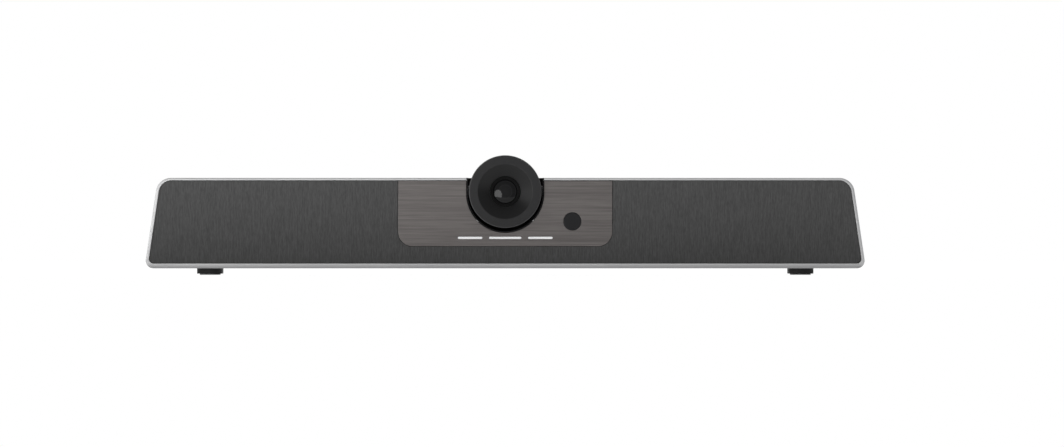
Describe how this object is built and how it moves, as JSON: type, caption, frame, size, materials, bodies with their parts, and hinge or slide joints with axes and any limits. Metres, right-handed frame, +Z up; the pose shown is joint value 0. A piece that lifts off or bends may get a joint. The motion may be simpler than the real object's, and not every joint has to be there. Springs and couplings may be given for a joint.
{
  "type": "conference camera",
  "caption": "Low conference bar with a camera head that tilts in a round cradle, cloth-covered speakers, a microphone row and rear sockets.",
  "frame": {"origin": "middle of the bar's footprint, on the surface that the rubber pads rest on", "axes": "+X along the bar, -Y is the front where the lens looks, +Z up"},
  "size_m": [0.6602, 0.098, 0.1097],
  "materials": {
    "silver_sleeve": "satin, bead-blasted and clear anodised",
    "rear_plastic": "fine matt grain",
    "baffle_plastic": "moulded, satin",
    "grille_steel": "black powder coat, perforated",
    "charcoal_cloth": "stretched woven speaker cloth, fine upright threads",
    "panel_taupe": "brushed sideways, warm grey, satin",
    "light_white": "milky diffuser, lit white",
    "board_green": "solder mask",
    "window_dark": "infrared-clear dark plastic",
    "cradle_black": "satin black moulding",
    "pin_steel": "ground steel",
    "washer_grey": "plain nylon",
    "head_plastic": "satin dark grey",
    "bezel_grey": "satin charcoal, coned dish",
    "barrel_black": "black anodised",
    "lens_glass": "polished, coated",
    "sensor_blue": "cover glass over silicon",
    "sink_alu": "extruded, bare",
    "screw_dark": "black oxide",
    "flex_amber": "polyimide film",
    "basket_black": "glass-filled nylon",
    "surround_rubber": "matt butyl half roll",
    "cone_paper": "coated paper",
    "spider_cloth": "resin-treated weave",
    "magnet_zinc": "zinc plated",
    "box_plastic": "moulded",
    "chip_black": "moulded package",
    "port_black": "moulded",
    "port_metal": "tin-plated shell",
    "button_grey": "satin",
    "tray_steel": "galvanised sheet",
    "foot_plastic": "moulded, satin",
    "pad_rubber": "matt silicone",
    "insert_brass": "turned"
  },
  "bodies": {
    "housing": {"housing_shell": "silver_sleeve", "rear_cover": "rear_plastic", "front_baffle": "baffle_plastic", "grille_plate": "grille_steel", "grille_cloth": "charcoal_cloth", "centre_panel": "panel_taupe", "status_light_guide": "light_white", "status_led_board": "board_green", "ir_window": "window_dark", "ir_receiver_board": "board_green", "camera_cradle": "cradle_black", "camera_flex": "flex_amber", "left_basket": "basket_black", "right_basket": "basket_black", "left_surround": "surround_rubber", "right_surround": "surround_rubber", "left_spider": "spider_cloth", "right_spider": "spider_cloth", "left_magnet": "magnet_zinc", "right_magnet": "magnet_zinc", "left_acoustic_box": "box_plastic", "right_acoustic_box": "box_plastic", "speaker_screws": "screw_dark", "microphone_board": "board_green", "main_board": "board_green", "processor": "chip_black", "processor_heat_sink": "sink_alu", "dc_inlet": "port_black", "usb_c_port": "port_metal", "hdmi_port": "port_metal", "audio_jack": "port_black", "power_switch": "port_black", "chassis_tray": "tray_steel", "left_foot": "foot_plastic", "right_foot": "foot_plastic", "left_foot_pad": "pad_rubber", "right_foot_pad": "pad_rubber", "tripod_bush": "insert_brass", "bracket_inserts": "insert_brass", "rear_cover_screws": "screw_dark", "foot_screws": "screw_dark", "tray_screws": "screw_dark", "cradle_screws": "screw_dark", "board_screws": "screw_dark"},
    "head": {"head_barrel": "head_plastic", "head_rear_cap": "head_plastic", "head_bezel": "bezel_grey", "lens_barrel": "barrel_black", "front_lens": "lens_glass", "rear_lenses": "lens_glass", "lens_mount": "cradle_black", "image_sensor": "sensor_blue", "sensor_board": "board_green", "head_heat_sink": "sink_alu", "head_cap_screws": "screw_dark", "tilt_pins": "pin_steel", "tilt_washers": "washer_grey"},
    "left_cone": {"left_cone": "cone_paper"},
    "right_cone": {"right_cone": "cone_paper"},
    "power_button": {"power_button": "button_grey"}
  },
  "joints": [
    {"name": "head_tilt", "type": "hinge", "parent": "housing", "child": "head", "pos_m": [0, -0.034, 0.0764], "axis": [1, 0, 0], "range_deg": [-15, 15], "deforming": ["camera_flex"]},
    {"name": "left_cone_travel", "type": "slide", "parent": "housing", "child": "left_cone", "axis": [0, -1, 0], "range_m": [-0.002, 0.002], "stiffness_N_per_m": 300, "deforming": ["left_surround", "left_spider"]},
    {"name": "right_cone_travel", "type": "slide", "parent": "housing", "child": "right_cone", "axis": [0, -1, 0], "range_m": [-0.002, 0.002], "stiffness_N_per_m": 300, "deforming": ["right_surround", "right_spider"]},
    {"name": "power_button_press", "type": "slide", "parent": "housing", "child": "power_button", "axis": [0, -1, 0], "range_m": [0, 0.0008], "stiffness_N_per_m": 400}
  ]
}
